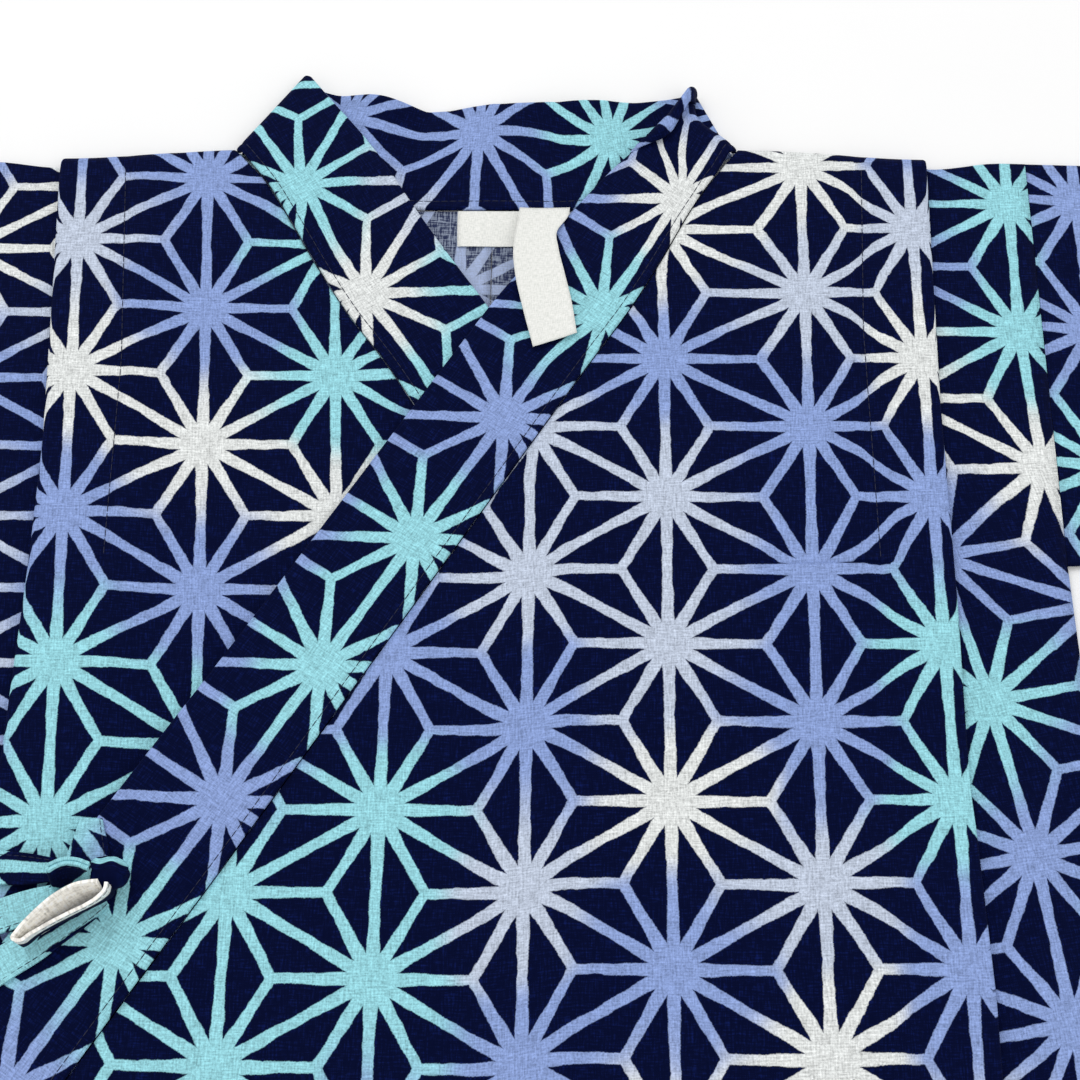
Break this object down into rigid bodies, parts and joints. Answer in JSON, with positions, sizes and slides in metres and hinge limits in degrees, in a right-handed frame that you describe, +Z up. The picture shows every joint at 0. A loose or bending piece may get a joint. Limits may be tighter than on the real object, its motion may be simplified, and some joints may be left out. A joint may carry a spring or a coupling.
{
  "type": "jinbei jacket",
  "caption": "Child's cotton jinbei jacket with a crossed collar, shoulder tucks and side ties, laid out flat in a blue star print.",
  "frame": {"origin": "middle of the garment's bounding box, at the underside that rests on the surface", "axes": "+Z up from the surface, +Y from the hem towards the neck, +X towards the wearer's left sleeve"},
  "size_m": [0.6262, 0.536, 0.0205],
  "materials": {
    "printed_cotton": "navy slub cotton with a hemp-leaf print of light blue, aqua and white stars",
    "collar_cotton": "the same printed cotton, cut along its length and folded double",
    "tie_cotton": "the same printed cotton, folded into four and stitched along its edge",
    "label_cloth": "bare white woven tape"
  },
  "bodies": {
    "root": {"back_left": "printed_cotton", "back_right": "printed_cotton", "front_right": "printed_cotton", "front_left": "printed_cotton", "sleeve_left": "printed_cotton", "sleeve_right": "printed_cotton", "collar_right": "collar_cotton", "collar_left": "collar_cotton", "collar_back": "collar_cotton", "tie_front": "tie_cotton", "tie_side": "tie_cotton", "tie_end_left": "tie_cotton", "tie_end_lower": "tie_cotton", "bow_loop_left": "tie_cotton", "bow_loop_lower": "tie_cotton", "bow_knot": "tie_cotton", "label_brand": "label_cloth", "label_care": "label_cloth"}
  },
  "joints": []
}
